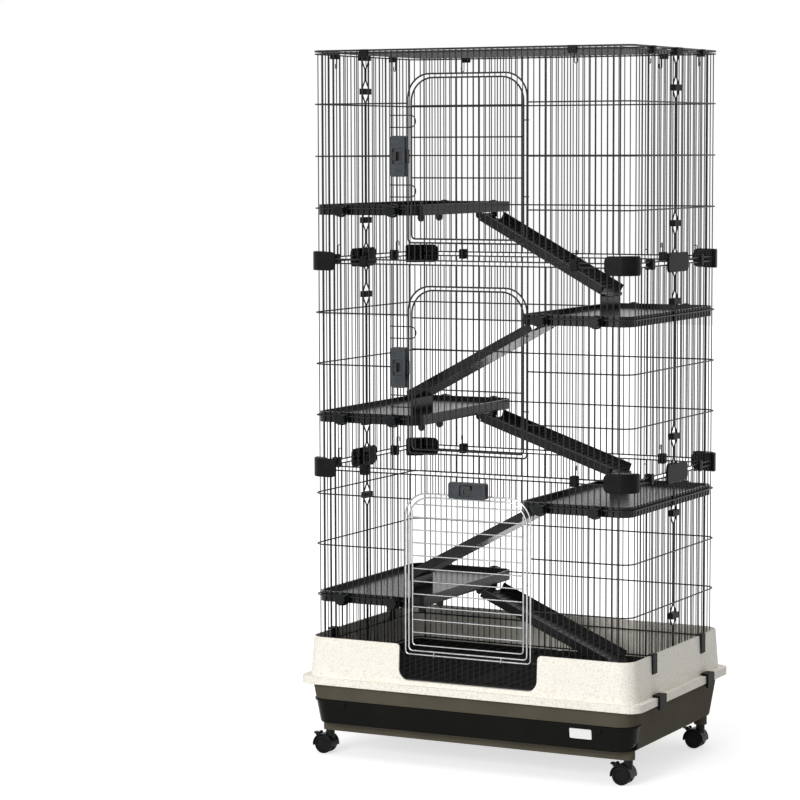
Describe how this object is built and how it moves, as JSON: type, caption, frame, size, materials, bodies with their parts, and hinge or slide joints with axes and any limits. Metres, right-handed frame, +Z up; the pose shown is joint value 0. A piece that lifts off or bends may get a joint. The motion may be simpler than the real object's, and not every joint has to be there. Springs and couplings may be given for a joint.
{
  "type": "small animal cage",
  "caption": "Tall wire cage for small animals with inner platforms, ramps and doors, on a plastic base with a litter drawer and swivel casters.",
  "frame": {"origin": "on the floor under the middle of the base", "axes": "+X to the right seen from the doors, +Y to the back, +Z up"},
  "size_m": [0.8002, 0.527, 1.5113],
  "materials": {
    "black_wire": "satin",
    "grey_wire": "satin",
    "black_tray": "gloss",
    "cream_plastic": "satin",
    "brown_plastic": "satin",
    "drawer_plastic": "gloss",
    "mat_plastic": "satin",
    "fitting_plastic": "satin",
    "caster_plastic": "satin",
    "wheel_rubber": "satin"
  },
  "bodies": {
    "cage": {"back_hoops_lower": "black_wire", "back_hoops_middle": "black_wire", "back_hoops_upper": "black_wire", "back_uprights_lower": "black_wire", "back_uprights_middle": "black_wire", "back_uprights_upper": "black_wire", "base_pan": "brown_plastic", "corner_connectors": "fitting_plastic", "door_opening_lower": "grey_wire", "door_opening_middle": "black_wire", "door_opening_upper": "black_wire", "flange_clips": "fitting_plastic", "front_hoops_lower": "black_wire", "front_hoops_middle": "black_wire", "front_hoops_upper": "black_wire", "front_uprights_lower": "black_wire", "front_uprights_middle": "black_wire", "front_uprights_upper": "black_wire", "latch_cases": "fitting_plastic", "mat_left": "mat_plastic", "mat_right": "mat_plastic", "panel_clips": "fitting_plastic", "platform_1": "black_tray", "platform_2": "black_tray", "platform_3": "black_tray", "platform_4": "black_tray", "platform_5": "black_tray", "platform_knobs": "fitting_plastic", "roof_clips": "fitting_plastic", "roof_frame": "black_wire", "roof_wires": "black_wire", "side_buckles": "fitting_plastic", "side_connectors": "fitting_plastic", "skirt": "cream_plastic", "wire_clips": "fitting_plastic"},
    "door_upper": {"door_upper": "black_wire"},
    "latch_slider_upper": {"latch_slider_upper": "fitting_plastic"},
    "door_middle": {"door_middle": "black_wire"},
    "latch_slider_middle": {"latch_slider_middle": "fitting_plastic"},
    "door_lower": {"door_lower": "grey_wire"},
    "latch_slider_lower": {"latch_slider_lower": "fitting_plastic"},
    "litter_drawer": {"litter_drawer": "drawer_plastic"},
    "ramp_1": {"ramp_1": "black_tray"},
    "ramp_2": {"ramp_2": "black_tray"},
    "ramp_3": {"ramp_3": "black_tray"},
    "ramp_4": {"ramp_4": "black_tray"},
    "ramp_5": {"ramp_5": "black_tray"},
    "caster_fork_front_left": {"caster_fork_front_left": "caster_plastic"},
    "caster_wheel_front_left": {"caster_wheel_front_left": "wheel_rubber"},
    "caster_brake_front_left": {"caster_brake_front_left": "caster_plastic"},
    "caster_fork_front_right": {"caster_fork_front_right": "caster_plastic"},
    "caster_wheel_front_right": {"caster_wheel_front_right": "wheel_rubber"},
    "caster_brake_front_right": {"caster_brake_front_right": "caster_plastic"},
    "caster_fork_back_left": {"caster_fork_back_left": "caster_plastic"},
    "caster_wheel_back_left": {"caster_wheel_back_left": "wheel_rubber"},
    "caster_brake_back_left": {"caster_brake_back_left": "caster_plastic"},
    "caster_fork_back_right": {"caster_fork_back_right": "caster_plastic"},
    "caster_wheel_back_right": {"caster_wheel_back_right": "wheel_rubber"},
    "caster_brake_back_right": {"caster_brake_back_right": "caster_plastic"}
  },
  "joints": [
    {"name": "door_upper_hinge", "type": "hinge", "parent": "cage", "child": "door_upper", "pos_m": [0.1365, -0.2403, 1.2835], "axis": [0, 0, 1], "range_deg": [0, 120]},
    {"name": "door_middle_hinge", "type": "hinge", "parent": "cage", "child": "door_middle", "pos_m": [0.1365, -0.2403, 0.8426], "axis": [0, 0, 1], "range_deg": [0, 120]},
    {"name": "door_lower_hinge", "type": "hinge", "parent": "cage", "child": "door_lower", "pos_m": [0, -0.2403, 0.24], "axis": [1, 0, 0], "range_deg": [0, 105]},
    {"name": "latch_upper_slide", "type": "slide", "parent": "cage", "child": "latch_slider_upper", "axis": [1, 0, 0], "range_m": [0, 0.01]},
    {"name": "latch_middle_slide", "type": "slide", "parent": "cage", "child": "latch_slider_middle", "axis": [1, 0, 0], "range_m": [0, 0.01]},
    {"name": "latch_lower_slide", "type": "slide", "parent": "cage", "child": "latch_slider_lower", "axis": [0, 0, -1], "range_m": [0, 0.01]},
    {"name": "litter_drawer_slide", "type": "slide", "parent": "cage", "child": "litter_drawer", "axis": [0, -1, 0], "range_m": [0, 0.4]},
    {"name": "ramp_1_hinge", "type": "hinge", "parent": "cage", "child": "ramp_1", "pos_m": [-0.124, 0.1125, 0.3299], "axis": [0, -1, 0], "range_deg": [0, 23]},
    {"name": "ramp_2_hinge", "type": "hinge", "parent": "cage", "child": "ramp_2", "pos_m": [0.124, -0.1125, 0.5487], "axis": [0, 1, 0], "range_deg": [0, 27]},
    {"name": "ramp_3_hinge", "type": "hinge", "parent": "cage", "child": "ramp_3", "pos_m": [-0.124, 0.1125, 0.7167], "axis": [0, -1, 0], "range_deg": [0, 18]},
    {"name": "ramp_4_hinge", "type": "hinge", "parent": "cage", "child": "ramp_4", "pos_m": [0.124, -0.1125, 0.9361], "axis": [0, 1, 0], "range_deg": [0, 27]},
    {"name": "ramp_5_hinge", "type": "hinge", "parent": "cage", "child": "ramp_5", "pos_m": [-0.124, 0.1125, 1.1576], "axis": [0, -1, 0], "range_deg": [0, 28]},
    {"name": "swivel_front_left", "type": "hinge", "parent": "cage", "child": "caster_fork_front_left", "pos_m": [-0.349, -0.202, 0.06], "axis": [0, 0, 1], "continuous": true},
    {"name": "wheel_spin_front_left", "type": "hinge", "parent": "caster_fork_front_left", "child": "caster_wheel_front_left", "pos_m": [-0.36, -0.202, 0.02], "axis": [0, 1, 0], "continuous": true},
    {"name": "brake_tilt_front_left", "type": "hinge", "parent": "caster_fork_front_left", "child": "caster_brake_front_left", "pos_m": [-0.37638, -0.202, 0.04096], "axis": [0, -1, 0], "range_deg": [0, 15]},
    {"name": "swivel_front_right", "type": "hinge", "parent": "cage", "child": "caster_fork_front_right", "pos_m": [0.349, -0.202, 0.06], "axis": [0, 0, 1], "continuous": true},
    {"name": "wheel_spin_front_right", "type": "hinge", "parent": "caster_fork_front_right", "child": "caster_wheel_front_right", "pos_m": [0.338, -0.202, 0.02], "axis": [0, 1, 0], "continuous": true},
    {"name": "brake_tilt_front_right", "type": "hinge", "parent": "caster_fork_front_right", "child": "caster_brake_front_right", "pos_m": [0.32162, -0.202, 0.04096], "axis": [0, -1, 0], "range_deg": [0, 15]},
    {"name": "swivel_back_left", "type": "hinge", "parent": "cage", "child": "caster_fork_back_left", "pos_m": [-0.349, 0.202, 0.06], "axis": [0, 0, 1], "continuous": true},
    {"name": "wheel_spin_back_left", "type": "hinge", "parent": "caster_fork_back_left", "child": "caster_wheel_back_left", "pos_m": [-0.36, 0.202, 0.02], "axis": [0, 1, 0], "continuous": true},
    {"name": "brake_tilt_back_left", "type": "hinge", "parent": "caster_fork_back_left", "child": "caster_brake_back_left", "pos_m": [-0.37638, 0.202, 0.04096], "axis": [0, -1, 0], "range_deg": [0, 15]},
    {"name": "swivel_back_right", "type": "hinge", "parent": "cage", "child": "caster_fork_back_right", "pos_m": [0.349, 0.202, 0.06], "axis": [0, 0, 1], "continuous": true},
    {"name": "wheel_spin_back_right", "type": "hinge", "parent": "caster_fork_back_right", "child": "caster_wheel_back_right", "pos_m": [0.338, 0.202, 0.02], "axis": [0, 1, 0], "continuous": true},
    {"name": "brake_tilt_back_right", "type": "hinge", "parent": "caster_fork_back_right", "child": "caster_brake_back_right", "pos_m": [0.32162, 0.202, 0.04096], "axis": [0, -1, 0], "range_deg": [0, 15]}
  ]
}
